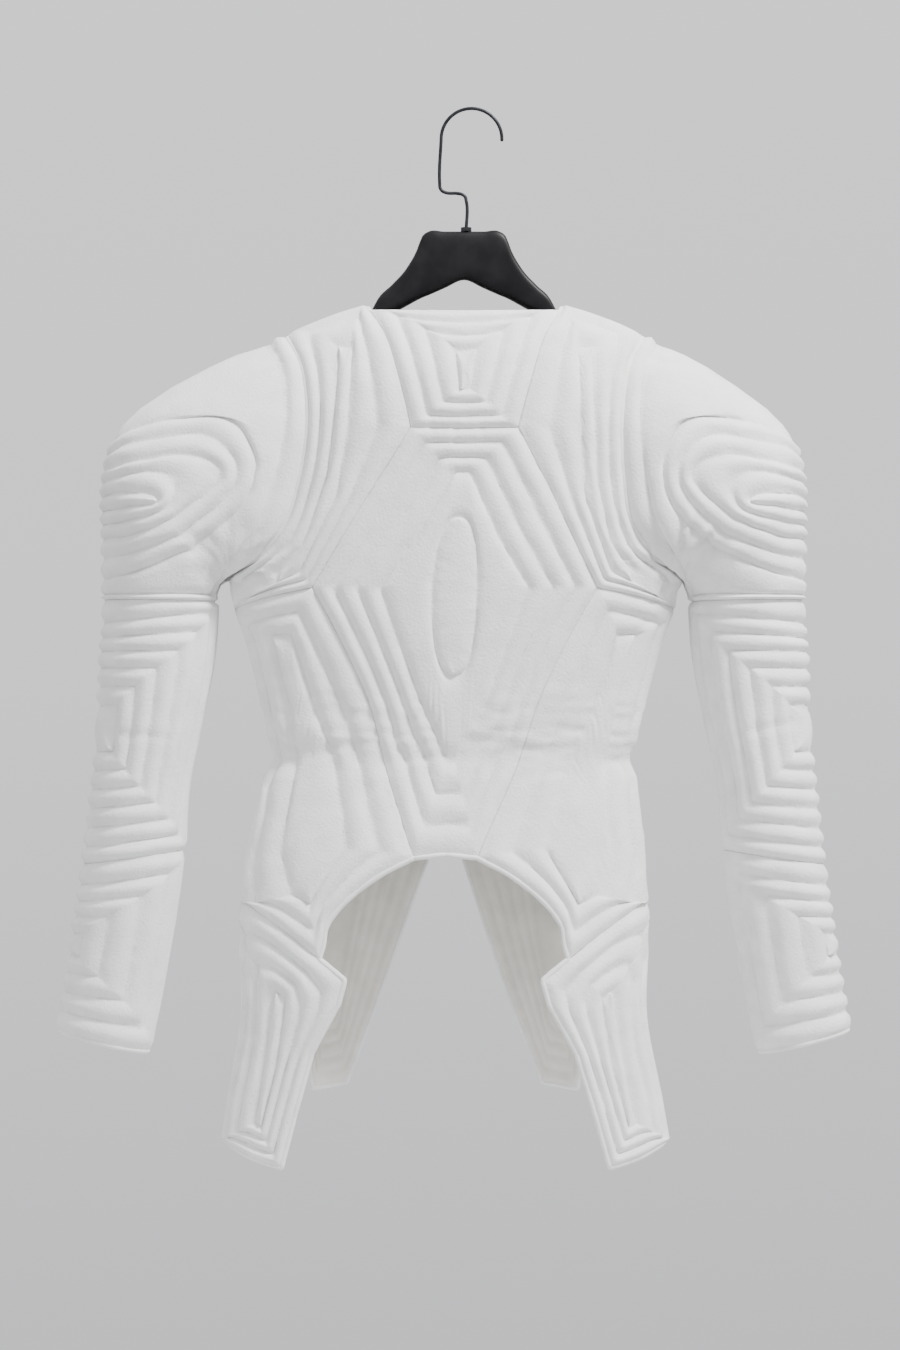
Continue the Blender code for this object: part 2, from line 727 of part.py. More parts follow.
def main():
    for thing in list(bpy.data.objects):
        bpy.data.objects.remove(thing, do_unlink=True)
    collection = bpy.data.collections.new("fencing_jacket_on_hanger")
    bpy.context.scene.collection.children.link(collection)
    add_torso(collection)
    add_sleeves(collection)
    add_hanger_body(collection)
    add_hook(collection)
    add_collar(collection)


main()
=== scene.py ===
"""Looks of the quilted fencing jacket and its hanger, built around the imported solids.

Lengths in the tables are millimetres, and the frame is in metres. Each cloth panel is cut again from the
same seams as its solid, and quilted finely: soft channels, puckered stitches, creases and edge binding.
"""

import math

import bmesh
import bpy
import numpy as np
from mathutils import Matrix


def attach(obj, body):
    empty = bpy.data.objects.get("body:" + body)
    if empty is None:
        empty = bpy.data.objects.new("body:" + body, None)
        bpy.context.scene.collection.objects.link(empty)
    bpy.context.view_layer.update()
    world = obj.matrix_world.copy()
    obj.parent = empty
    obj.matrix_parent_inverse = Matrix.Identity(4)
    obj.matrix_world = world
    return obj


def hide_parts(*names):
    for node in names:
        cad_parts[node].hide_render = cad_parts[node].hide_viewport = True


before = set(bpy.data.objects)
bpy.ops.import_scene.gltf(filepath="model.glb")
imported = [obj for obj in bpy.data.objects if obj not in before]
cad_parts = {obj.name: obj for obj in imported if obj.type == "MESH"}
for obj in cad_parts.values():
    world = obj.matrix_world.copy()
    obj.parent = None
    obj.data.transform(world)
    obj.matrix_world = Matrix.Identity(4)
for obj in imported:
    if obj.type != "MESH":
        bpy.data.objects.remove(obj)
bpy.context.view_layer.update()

MM = 0.001

# Cloth wall
WALL = 8.0
RISE = 3.4
CROWN = 0.5
INNER_RISE = 1.8
SEAM_GAP = 0.1
CLOTH_STEP = 3.0
CORNER_PASSES = 2

# Sections of a channel, from stitches to stitches: shares of its width, and how square and how full it is
NARROW = ((0.07, 0.17, 0.31, 0.5, 0.69, 0.83, 0.93, 1.0), 1.0, 1.25)
WIDE = ((0.03, 0.08, 0.16, 0.3, 0.5, 0.7, 0.84, 0.92, 0.97, 1.0), 2.4, 1.1)
OVAL_BLUNTNESS = 0.8

# Torso form
NECK_DROP = 180.4
ARMPIT_HALF_WIDTH = 214.0
SHOULDER_TOP = -11.8
SHOULDER_FALL = 0.001428
DOME_DROP = 120.0
DOME_ARC = 152.0
HALF_ARC = 225.0
FLATNESS = 0.8
INSIDE_DROP = 50.0

# down, half width, back depth, front depth
TORSO = np.array([
    (-20, 214, 70, 68),
    (150, 214, 70, 78),
    (256, 214, 68, 84),
    (283, 206, 66, 82),
    (322, 192, 62, 76),
    (368, 180, 57, 68),
    (402, 173, 54, 63),
    (421, 166, 52, 60),
    (440, 174, 54, 62),
    (508, 186, 62, 69),
    (560, 191, 68, 73),
    (613, 190, 71, 75),
    (672, 192, 70, 74),
    (729, 201, 68, 72),
    (800, 212, 66, 70),
], dtype=float)

# down, place of the centre line across: the jacket hangs a little to one side
CENTRE = np.array([
    (-80, -7.0),
    (120, -7.0),
    (266, -15.5),
    (410, -18.0),
    (510, -24.0),
    (600, -25.6),
    (800, -24.0),
], dtype=float)

# Sleeve form, station 0 armhole, 1 below the puff, 2 below the elbow, 3 cuff
# station, outer out, outer down, inner out, inner down, half depth, forward
SLEEVE = np.array([
    (0.00, 167, 28, 214, 256, 50, 0),
    (0.15, 214, 50, 214, 260, 62, 0),
    (0.30, 255, 73, 215, 263, 68, 0),
    (0.45, 293, 100, 216, 265, 71, 0),
    (0.60, 318, 128, 217, 267, 71, 0),
    (0.75, 328, 168, 218, 270, 67, 0),
    (0.88, 328, 220, 218, 273, 61, 1),
    (1.00, 327, 275, 218, 277, 55, 2),
    (1.25, 331, 330, 222, 330, 52, 4),
    (1.50, 333, 390, 233, 388, 49, 6),
    (1.75, 340, 455, 246, 448, 47, 10),
    (2.00, 348, 520, 250, 508, 46, 15),
    (2.33, 356, 572, 258, 566, 45, 20),
    (2.67, 364, 622, 269, 628, 43, 26),
    (3.00, 374, 676, 283, 698, 41, 32),
], dtype=float)
SLEEVE_CENTRE = -16.7
ARMHOLE_BLEND = 0.45
PUFF_MIDDLE = 0.6
SLEEVE_RADIUS = 58.0
CAP_LENGTH = 332.0
CAP_RISE = 300.0
ELBOW_LENGTH = 238.0
FOREARM_LENGTH = 172.0

# Core of the quilting on a straight sleeve piece: share of the way round, its top and bottom as shares
# of the length
ELBOW_CORE = (0.3, 0.43, 0.6)
FOREARM_CORE = (0.22, 0.42, 0.56)

# The channel along the puff's edges, to the armhole and below, and the most of the pattern's height and
# the share of its width that are left
CAP_EDGE = 14.0
CAP_FOOT = 4.0
CAP_EDGE_SHARE = 0.3
CAP_EDGE_NARROWING = 0.92

# Nested loops quilted on the puff, in its flat pattern, from the middle out to the tip. Each row is a ray
# from the outer loop in to the core
# outer across, outer down, middle across, middle down, core across, core down
LOOPS_OVER = np.array([
    (0, 204, 0, 238, 0, 262),
    (17, 194, 20, 233, 20, 260),
    (29, 170, 40, 225, 38, 257),
    (39, 155, 54, 211, 50, 254),
    (47, 138, 63, 197, 60, 251),
    (56, 116, 71, 180, 69, 247),
    (78, 147, 80, 177, 77, 243),
    (95, 185, 89, 191, 82, 242.5),
    (106, 214, 95, 209, 84.5, 244.5),
    (115, 240, 99, 226, 85, 247),
    (121, 261, 101, 241, 84.5, 249.5),
    (124, 278, 101, 255, 83, 252),
], dtype=float)
LOOPS_UNDER = np.array([
    (0, 318, 0, 292, 0, 272),
    (38, 317, 32, 291, 26, 271),
    (74, 313, 62, 289, 50, 269),
    (107, 302, 88, 279, 70, 262),
    (125, 286, 99, 263, 81, 255),
], dtype=float)

# Raised oval on the centre back
OVAL_DOWN = 273.0
OVAL_HALF_WIDTH = 20.5
OVAL_HALF_HEIGHT = 72.0

# Hanger: out, top down, underside down, half thickness
HANGER = np.array([
    (0, -67.5, -22.5, 7.0),
    (18, -67.5, -15.0, 7.0),
    (34, -67.0, -8.0, 7.0),
    (39, -63.0, -6.0, 7.0),
    (44, -50.0, -3.5, 7.5),
    (53, -34.0, 1.5, 8.0),
    (67, -18.0, 9.0, 8.5),
    (80, -5.0, 15.5, 8.5),
    (87, 8.0, 21.0, 8.0),
    (94, 17.0, 28.0, 7.5),
    (106, 19.0, 37.0, 7.5),
    (120, 20.5, 44.0, 7.5),
    (135, 25.5, 50.0, 7.5),
    (148, 31.0, 53.0, 7.0),
    (155, 36.0, 50.0, 4.5),
], dtype=float)
HANGER_TOP = NECK_DROP - 67.5
HANGER_X = -7.0

# Hook: a round bend on the crest, then a stem that stands a little to one side of the hanger's middle
HOOK_WIRE = 3.2
HOOK_RADIUS = 28.2
BEND_START = -3
BEND_END = 181
STEM_X = HANGER_X + 2.0

# Places of the wire from the bend's end down to the stem: across, down from the crest's underside
HOOK_FOOT = [
    (-29.6, 68.0),
    (-29.3, 72.0),
    (-27.4, 75.0),
    (-24.0, 76.6),
    (STEM_X - 8, 77.4),
    (STEM_X - 4, 78.2),
    (STEM_X - 1, 80.4),
    (STEM_X, 84.0),
    (STEM_X, HANGER_TOP - SEAM_GAP),
]



def smooth(table, column, at):
    """Smooth reading of a table's column at values of its first column."""
    xs = table[:, 0]
    ys = table[:, column]
    slopes = np.gradient(ys, xs)
    at = np.clip(at, xs[0], xs[-1])
    i = np.clip(np.searchsorted(xs, at, side="right") - 1, 0, len(xs) - 2)
    span = xs[i + 1] - xs[i]
    t = (at - xs[i]) / span
    start = (1 + 2 * t) * (1 - t) ** 2 * ys[i] + t * (1 - t) ** 2 * span * slopes[i]
    end = t * t * (3 - 2 * t) * ys[i + 1] + t * t * (t - 1) * span * slopes[i + 1]
    return start + end


def half_width(down):
    return smooth(TORSO, 1, down)


def side(down):
    """The place on the side seam at a height."""
    return (float(half_width(np.array(down))), down)


# Seams and free edges, each a smooth line through its points
SEAMS = {
    "neck_back": [(0, 9), (48, 8), (88, 6)],
    "neck_side": [(88, 6), (90, 3), (91, 0)],
    "neck_front": [(0, 75), (28, 71), (62, 50), (84, 22), (91, 0)],
    "shoulder": [(91, 0), (130, 12.3), (167, 28)],
    "armhole": [
        (167, 28), (152, 56), (145, 92), (144.5, 128), (149, 167),
        (158, 204), (181, 237), (200, 249), side(256),
    ],
    "yoke_side": [(88, 6), (72, 36), (59, 80), (49, 119)],
    "yoke_base": [(49, 119), (0, 120)],
    "blade": [(49, 119), (90, 190), (131, 265)],
    "bust": [(131, 265), (170, 273), side(283)],
    "side_top": [side(256), side(283)],
    "side_mid": [side(283), side(322), side(368), side(402), side(421), side(440), side(490), side(552)],
    "side_low": [side(552), side(590)],
    "waist_seam": [(131, 265), (104, 314), (78, 370), (62, 424), (45, 470), (29, 511)],
    "hem_centre": [(29, 511), (0, 508)],
    "arch": [(29, 511), (60, 527), (90, 550), (108, 573), (111, 590), (115, 604)],
    "tail_top": [(115, 604), (150, 578), side(552)],
    "tail_inner": [(115, 604), (91, 623), (97, 645), (122, 690), (139, 748), (152, 796)],
    "tail_end": [(152, 796), (180, 788), (209, 775)],
    "tail_outer": [(209, 775), (201, 729), (191, 672), (189, 628), side(590)],
    "front_hem": [side(590), (172, 614), (148, 655), (132, 695), (126, 735)],
    "front_tip": [(126, 735), (94, 730)],
    "front_cut": [(94, 730), (60, 640), (22, 530), (0, 465)],
    "centre_front": [(0, 465), (0, 75)],
}
CORNERED = ("tail_inner",)

# Each piece: its seams in order, the way each runs, and the places of the quilting's core beside it
# seam, way, core places (out, down)
YOKE = [
    ("neck_back", 1, [(0, 47), (5, 47)]),
    ("yoke_side", 1, [(9, 47), (5, 84)]),
    ("yoke_base", 1, [(5, 84)]),
]
CENTRE_BACK = [
    ("yoke_base", -1, [(0, 160), (5, 160)]),
    ("blade", 1, [(8, 163), (38, 220)]),
    ("waist_seam", 1, [(68, 266), (30, 370)]),
    ("hem_centre", 1, [(4, 424)]),
]
SIDE_BACK = [
    ("shoulder", 1, [(106, 42)]),
    ("armhole", 1, [(117, 42), (119, 100), (124, 165), (142, 226)]),
    ("side_top", 1, [(164, 251)]),
    ("bust", -1, [(163, 260)]),
    ("blade", -1, [(143, 250), (114, 181)]),
    ("yoke_side", -1, [(107, 120)]),
    ("neck_side", 1, [(104, 46)]),
]
SIDE_BACK_LOW = [
    ("bust", 1, [(150, 308)]),
    ("side_mid", 1, [(168, 308), (152, 372), (143, 424), (152, 508)]),
    ("tail_top", -1, [(140, 546)]),
    ("arch", -1, [(124, 554)]),
    ("waist_seam", -1, [(92, 503), (106, 428), (128, 376)]),
]
TAIL = [
    ("tail_top", 1, [(146, 641)]),
    ("side_low", 1, [(154, 636)]),
    ("tail_outer", -1, [(157, 640), (166, 700)]),
    ("tail_end", -1, [(176, 756)]),
    ("tail_inner", -1, [(170, 760), (154, 700)]),
]
FRONT = [
    ("neck_front", 1, [(64, 156)]),
    ("shoulder", 1, [(92, 104)]),
    ("armhole", 1, [(101, 106), (101, 200)]),
    ("side_top", 1, [(130, 286)]),
    ("side_mid", 1, [(131, 300), (110, 421)]),
    ("side_low", 1, [(126, 530)]),
    ("front_hem", 1, [(127, 548)]),
    ("front_tip", 1, [(110, 668)]),
    ("front_cut", 1, [(104, 664)]),
    ("centre_front", 1, [(72, 468), (68, 400)]),
]


def signed_power(value, power):
    return np.sign(value) * np.abs(value) ** power


def to_cloth(places):
    """Places seen from straight on, as places in the torso's unrolled cloth."""
    out, down = places[:, 0], places[:, 1]
    across = np.clip(out / half_width(down), -1, 1)
    below = down - shoulder_line(ARMPIT_HALF_WIDTH * across)
    turn = np.arccos(np.clip(1 - below / DOME_DROP, 0, 1))
    length = np.where(below < DOME_DROP, turn * DOME_ARC * 2 / math.pi, DOME_ARC + below - DOME_DROP)
    return np.column_stack([np.arcsin(across) * HALF_ARC * 2 / math.pi, length])


def shoulder_line(out):
    return SHOULDER_TOP + SHOULDER_FALL * out * out


def centre_line(down):
    return smooth(CENTRE, 1, down)


def torso_place(cloth, front):
    """Cloth places on the outside of the torso, in world millimetres."""
    across = cloth[:, 0] * math.pi / 2 / HALF_ARC
    length = cloth[:, 1]
    turn = np.clip(length / DOME_ARC, -1, 1) * math.pi / 2
    below = np.where(length < DOME_ARC, DOME_DROP * (1 - np.cos(turn)), DOME_DROP + length - DOME_ARC)
    down = shoulder_line(ARMPIT_HALF_WIDTH * np.sin(across)) + below
    depth = smooth(TORSO, 3 if front else 2, down) * np.sin(turn) * signed_power(np.cos(across), FLATNESS)
    x = centre_line(down) + half_width(down) * np.sin(across)
    return np.column_stack([x, depth if front else -depth, -NECK_DROP - down])


def line_through(points, count=None, cornered=False):
    """Places along a smooth or a cornered line, evenly spaced on the cloth, about CLOTH_STEP apart."""
    points = np.array(points, dtype=float)
    tangents = np.gradient(points, axis=0)
    t = np.linspace(0, 1, 17)[:-1, None]
    runs = []
    for a, b, ta, tb in zip(points[:-1], points[1:], tangents[:-1], tangents[1:]):
        if cornered or len(points) == 2:
            runs.append(a + (b - a) * t)
            continue
        start = (1 + 2 * t) * (1 - t) ** 2 * a + t * (1 - t) ** 2 * ta
        runs.append(start + t * t * (3 - 2 * t) * b + t * t * (t - 1) * tb)
    dense = np.vstack(runs + [points[-1:]])
    steps = np.linalg.norm(np.diff(torso_place(to_cloth(dense), False), axis=0), axis=1)
    along = np.concatenate([[0], np.cumsum(steps)])
    if count is None:
        count = max(1, round(along[-1] / CLOTH_STEP))
    at = np.linspace(0, along[-1], count + 1)
    return np.column_stack([np.interp(at, along, dense[:, k]) for k in (0, 1)])


SEAM_LINES = {name: line_through(points, cornered=name in CORNERED) for name, points in SEAMS.items()}
SEAM_LINES["shoulder"][:, 1] = shoulder_line(SEAM_LINES["shoulder"][:, 0])
ARMHOLE_STEPS = len(SEAM_LINES["armhole"]) - 1
RING_STEPS = 2 * round(math.pi * SLEEVE_RADIUS / CLOTH_STEP)
ARMHOLE = line_through(SEAMS["armhole"], count=4 * ARMHOLE_STEPS)


def torso_inside(places):
    """A point well inside the torso for each place on it, which tells outward from inward."""
    centre = centre_line(-NECK_DROP - places[:, 2])
    x = (centre + places[:, 0]) / 2
    return np.column_stack([x, np.zeros(len(places)), places[:, 2] - INSIDE_DROP])


def armhole_place(angle, hand):
    """The armhole at an angle round the sleeve: 0 at the shoulder tip, +-pi at the armpit, + behind."""
    at = np.abs(angle) / math.pi * (len(ARMHOLE) - 1)
    places = np.column_stack([np.interp(at, np.arange(len(ARMHOLE)), ARMHOLE[:, k]) for k in (0, 1)])
    places[:, 0] *= hand
    cloth = to_cloth(places)
    behind = torso_place(cloth, False)
    ahead = torso_place(cloth, True)
    return np.where((angle >= 0)[:, None], behind, ahead)


def sleeve_ring(angle, station, hand):
    values = [smooth(SLEEVE, k, station) for k in range(1, 7)]
    outer_out, outer_down, inner_out, inner_down, half_depth, forward = values
    middle_out = (outer_out + inner_out) / 2
    middle_down = (outer_down + inner_down) / 2
    out = middle_out + (outer_out - inner_out) / 2 * np.cos(angle)
    down = middle_down + (outer_down - inner_down) / 2 * np.cos(angle)
    y = forward - half_depth * np.sin(angle)
    return np.column_stack([SLEEVE_CENTRE + hand * out, y, -NECK_DROP - down])


def sleeve_place(angle, station, hand):
    """A place on the outside of the sleeve, which grows out of the armhole's line."""
    t = np.clip(station / ARMHOLE_BLEND, 0, 1)
    share = ((1 - t) ** 2 * (1 + t))[:, None]
    start = sleeve_ring(angle, np.zeros_like(station), hand)
    return sleeve_ring(angle, station, hand) + share * (armhole_place(angle, hand) - start)


def sleeve_inside(station, hand):
    """The middle of the sleeve at each station. The puff's armhole end looks to the puff's own middle."""
    station = np.maximum(station, PUFF_MIDDLE)
    top = sleeve_ring(np.zeros_like(station), station, hand)
    bottom = sleeve_ring(np.full_like(station, math.pi), station, hand)
    return (top + bottom) / 2


def torso_form(front):
    def form(cloth):
        places = torso_place(cloth, front)
        return places, torso_inside(places)

    return form


def cap_top(across):
    """The top edge of the puff's flat pattern, a bell that meets the armhole."""
    return CAP_RISE * (1 - np.cos(across / SLEEVE_RADIUS)) / 2


def sleeve_form(hand, start, length):
    def form(cloth):
        angle = cloth[:, 0] / SLEEVE_RADIUS
        top = cap_top(cloth[:, 0]) if start == 0 else 0.0
        station = start + (cloth[:, 1] - top) / (length - top)
        return sleeve_place(angle, station, hand), sleeve_inside(station, hand)

    return form


def outward(form, cloth):
    """The form's places with their outward directions, from small steps to either side."""
    step = 0.4
    places, inside = form(cloth)
    across = form(cloth + (step, 0))[0] - form(cloth - (step, 0))[0]
    down = form(cloth + (0, step))[0] - form(cloth - (0, step))[0]
    direction = np.cross(across, down)
    direction /= np.linalg.norm(direction, axis=1)[:, None]
    flip = np.sign(np.einsum("ij,ij->i", direction, places - inside))
    return places, direction * flip[:, None]


def along_core(places, following, count):
    """Places evenly shared out along a stretch of core, up to where the next stretch starts."""
    line = np.array(places + [following], dtype=float)
    at = np.linspace(0, len(line) - 1, count + 1)
    return np.column_stack([np.interp(at, np.arange(len(line)), line[:, k]) for k in (0, 1)])


def pattern(rows, hand=1, mirrored=False):
    """A piece's outline and core, as matching loops. A mirrored piece has both halves."""
    outline = []
    core = []
    for k, (seam, way, spots) in enumerate(rows):
        line = SEAM_LINES[seam][::way]
        middle = mirrored and k == len(rows) - 1
        following = (0, spots[-1][1]) if middle else rows[(k + 1) % len(rows)][2][0]
        stop = len(line) if middle else len(line) - 1
        outline.append(line[:stop])
        core.append(along_core(spots, following, len(line) - 1)[:stop])
    outline = np.vstack(outline)
    core = np.vstack(core)
    if mirrored:
        other = slice(len(outline) - 2, 0, -1)
        outline = np.vstack([outline, outline[other] * (-1, 1)])
        core = np.vstack([core, core[other] * (-1, 1)])
    return outline * (hand, 1), core * (hand, 1)


def oval_inside(core):
    """The raised oval's edge, its points evenly spread round it from the one above its middle."""
    turn = np.linspace(0, 2 * math.pi, 721)
    edge = signed_power(np.column_stack([np.sin(turn), -np.cos(turn)]), OVAL_BLUNTNESS)
    edge *= (OVAL_HALF_WIDTH, OVAL_HALF_HEIGHT)
    along = np.concatenate([[0], np.cumsum(np.linalg.norm(np.diff(edge, axis=0), axis=1))])
    at = np.linspace(0, along[-1], len(core) + 1)[:-1]
    return np.column_stack([np.interp(at, along, edge[:, k]) for k in (0, 1)]) + (0, OVAL_DOWN)


def rectangle(left, right, top, bottom, steps_across, steps_down):
    """A loop along the bottom, up the right side, back along the top and down the left side."""
    across = np.linspace(left, right, steps_across + 1)[:-1]
    up = np.linspace(bottom, top, steps_down + 1)[:-1]
    return np.vstack([
        np.column_stack([across, np.full(len(across), bottom)]),
        np.column_stack([np.full(len(up), right), up]),
        np.column_stack([left + right - across, np.full(len(across), top)]),
        np.column_stack([np.full(len(up), left), top + bottom - up]),
    ])


def sleeve_loops(length, core_share, core_top, core_bottom):
    """A straight sleeve piece and its quilting's core, centred on the outer side of the arm."""
    half = math.pi * SLEEVE_RADIUS
    steps_down = round(length / CLOTH_STEP)
    outline = rectangle(-half, half, 0, length, RING_STEPS, steps_down)
    core_half = half * core_share
    core = rectangle(-core_half, core_half, core_top * length, core_bottom * length, RING_STEPS, steps_down)
    return outline, core


def spread(rows, count):
    """A table's rows shared out evenly and smoothly over a count of steps."""
    table = np.column_stack([np.arange(len(rows)), rows])
    at = np.linspace(0, len(rows) - 1, count + 1)
    return np.column_stack([smooth(table, k, at) for k in range(1, table.shape[1])])


def both_halves(column):
    """A closed loop from its columns: under it from left to right, then back over it."""
    lower = spread(LOOPS_UNDER[:, column:column + 2], RING_STEPS // 2)
    upper = spread(LOOPS_OVER[:, column:column + 2], ARMHOLE_STEPS)
    return np.vstack([lower[:0:-1] * (-1, 1), lower, upper[::-1], upper[1:] * (-1, 1)])


def cap_loops():
    """The puff: its outline, one channel in from it, the outer and the middle loop, and the core."""
    half = math.pi * SLEEVE_RADIUS
    below = np.linspace(-half, half, RING_STEPS + 1)
    above = np.linspace(half, -half, 2 * ARMHOLE_STEPS + 1)

    def edge(inset, foot, share):
        room_below = CAP_LENGTH - cap_top(below * share)
        room_above = CAP_LENGTH - cap_top(above * share)
        lower = CAP_LENGTH - np.minimum(foot, CAP_EDGE_SHARE * room_below)
        upper = CAP_LENGTH - room_above + np.minimum(inset, CAP_EDGE_SHARE * room_above)
        return np.vstack([np.column_stack([below * share, lower]), np.column_stack([above * share, upper])])

    return [
        edge(0.0, 0.0, 1.0),
        edge(CAP_EDGE, CAP_FOOT, CAP_EDGE_NARROWING),
        both_halves(0),
        both_halves(2),
        both_halves(4),
    ]


# Unevenness of sewn, padded cloth


def lattice(points, seed):
    """Smooth noise from -1 to 1 at points whose unit is one cell."""
    cell = np.floor(points)
    part = points - cell
    part = part * part * (3 - 2 * part)
    total = np.zeros(len(points))
    for corner in range(8):
        offset = np.array([corner & 1, corner >> 1 & 1, corner >> 2 & 1])
        weight = np.prod(np.where(offset, part, 1 - part), axis=1)
        spot = np.sin((cell + offset) @ np.array([12.9898, 78.233, 37.719]) + seed) * 43758.5453
        total += weight * (2 * (spot - np.floor(spot)) - 1)
    return total


def section(share, square, full):
    """How far a channel is raised across its width: 0 at the stitches, 1 at its crown."""
    return math.cos(math.pi / 2 * abs(2 * share - 1) ** square) ** full


def softened(loop, passes):
    """A closed loop with its corners rounded a little."""
    for _ in range(passes):
        loop = 0.25 * np.roll(loop, 1, axis=0) + 0.5 * loop + 0.25 * np.roll(loop, -1, axis=0)
    return loop


def quilted_rings(loops, channels):
    """Rings from the outline to the core: loop, how far it is raised, and how near it is to stitches."""
    away = np.linalg.norm(loops[1] - loops[0], axis=1)[:, None]
    rings = [(loops[0] + (loops[1] - loops[0]) * (SEAM_GAP / away), 0.0, 1.0)]
    made = 0.0
    for near, far, (count, (shares, square, full)) in zip(loops[:-1], loops[1:], channels):
        for channel in range(count):
            for share in shares:
                flat = near + (far - near) * (channel + share) / count
                passes = round(CORNER_PASSES * min(1.0, made + share))
                near_stitches = abs(2 * share - 1) ** 4
                rings.append((softened(flat, passes), float(section(share, square, full)), near_stitches))
            made += 1
    return rings


def spine(ring):
    """A line down the middle of a core: its places, and the one that each of the core's places joins."""
    count = len(ring)
    apart = np.linalg.norm(ring[:, None] - ring[None], axis=2)
    first, last = sorted(np.unravel_index(np.argmax(apart), apart.shape))
    one_side = np.arange(first, last + 1)
    other_side = np.arange(last, first + count + 1)[::-1] % count
    steps = min(len(one_side), len(other_side)) - 1
    shares = 0.06 + 0.88 * np.arange(steps + 1) / steps
    spots = np.zeros((steps + 1, 2))
    joins = np.zeros(count, dtype=int)
    for way in (one_side, other_side):
        at = shares * (len(way) - 1)
        for k in (0, 1):
            spots[:, k] += np.interp(at, np.arange(len(way)), ring[way, k]) / 2
        joins[way] = np.round(np.arange(len(way)) * steps / (len(way) - 1)).astype(int)
    return spots, joins


CORE_SHARES = (0.08, 0.2, 0.4, 0.7)


def core_rings(rings, square, full):
    """Rings from a core's stitches in to its middle line, and that line."""
    edge = rings[-1][0]
    spots, joins = spine(edge)
    for share in CORE_SHARES:
        rings.append((edge + (spots[joins] - edge) * share, float(section(share / 2, square, full)), 1 - share))
    return spots, joins


def unevenness(world, along, near_stitches, seed):
    """Millimetres that the cloth stands proud of its even form: puckers by the stitches and soft waves."""
    puckers = lattice(np.column_stack([along / PUCKER, np.full(len(along), seed), world[:, 2] / 60]), seed)
    waves = lattice(world / WAVE, seed + 5)
    return PUCKER_HEIGHT * puckers * near_stitches + WAVE_HEIGHT * waves


# Creases placed in front and behind: side (-1 front, 1 back), across, down, lean in degrees,
# length, width, depth
CREASES = np.array([
    (1, -120, 412, -4, 60, 5, 1.5),
    (1, -70, 398, 3, 44, 4, 1.2),
    (1, -28, 420, -2, 38, 4, 1.3),
    (1, 24, 404, 4, 46, 5, 1.2),
    (1, 76, 414, -5, 56, 5, 1.5),
    (1, 118, 396, 6, 52, 4, 1.2),
    (1, -160, 424, 2, 30, 5, 2.0),
    (1, 162, 424, -2, 30, 5, 2.0),
    (1, -96, 380, 5, 40, 4, 0.9),
    (1, 98, 434, -3, 44, 4, 1.0),
    (1, -30, 118, 88, 16, 3, 0.9),
    (1, -8, 124, 92, 18, 3, 1.1),
    (1, 16, 121, 86, 16, 3, 0.9),
    (-1, -110, 408, 5, 54, 5, 1.4),
    (-1, -60, 422, -3, 40, 4, 1.2),
    (-1, 58, 402, 4, 44, 4, 1.2),
    (-1, 112, 418, -5, 56, 5, 1.5),
    (-1, -150, 300, 38, 50, 6, 1.4),
    (-1, 146, 306, -36, 48, 6, 1.3),
    (1, -178, 300, 30, 34, 5, 1.0),
    (1, 180, 296, -32, 36, 5, 1.1),
    (1, -290, 400, 6, 50, 5, 1.1),
    (1, 296, 392, -8, 46, 5, 1.1),
    (1, -306, 540, -5, 44, 5, 1.0),
    (1, 310, 548, 6, 42, 5, 1.0),
    (-1, -288, 380, -14, 60, 6, 1.4),
    (-1, 292, 386, 12, 58, 6, 1.3),
    (-1, -300, 420, 8, 52, 6, 1.2),
    (-1, 304, 428, -10, 50, 6, 1.2),
], dtype=float)


def creases(world):
    """Millimetres of the larger creases: across the waist, gathers beside each armpit, and single ones."""
    down = -NECK_DROP - world[:, 2]
    out = world[:, 0] - centre_line(down)
    waist = np.exp(-((down - WAIST_DOWN) / WAIST_SPREAD) ** 2) * (np.abs(out) < 200)
    folds = lattice(np.column_stack([out / 22, world[:, 1] / 40, down / 5.5]), 3)
    total = WAIST_DEPTH * waist * folds
    for hand in (-1, 1):
        across = out - hand * GATHER_OUT
        below = down - GATHER_DOWN
        away = np.hypot(across, below)
        turn = np.arctan2(below, across * hand)
        rays = lattice(np.column_stack([turn * 5.5, away / 30, world[:, 1] / 60]), 9 + hand)
        total += GATHER_DEPTH * rays * np.exp(-((away - GATHER_REACH) / GATHER_SPREAD) ** 2)
    for face, x, z, lean, length, width, depth in CREASES:
        way = math.radians(lean)
        along = (out - x) * math.cos(way) + (down - z) * math.sin(way)
        away = (down - z) * math.cos(way) - (out - x) * math.sin(way)
        bend = away + 0.12 * width * np.sin(along / length * 5)
        same_side = np.clip(-world[:, 1] * face / 12, 0, 1)
        total -= depth * same_side * np.exp(-(bend / width) ** 2 - (along / length * 1.6) ** 4)
    return total


PUCKER = 5.5
PUCKER_HEIGHT = 0.55
WAVE = 26.0
WAVE_HEIGHT = 0.6
WAIST_DOWN = 398.0
WAIST_SPREAD = 34.0
WAIST_DEPTH = 1.3
GATHER_OUT = 205.0
GATHER_DOWN = 240.0
GATHER_REACH = 26.0
GATHER_SPREAD = 20.0
GATHER_DEPTH = 3.2


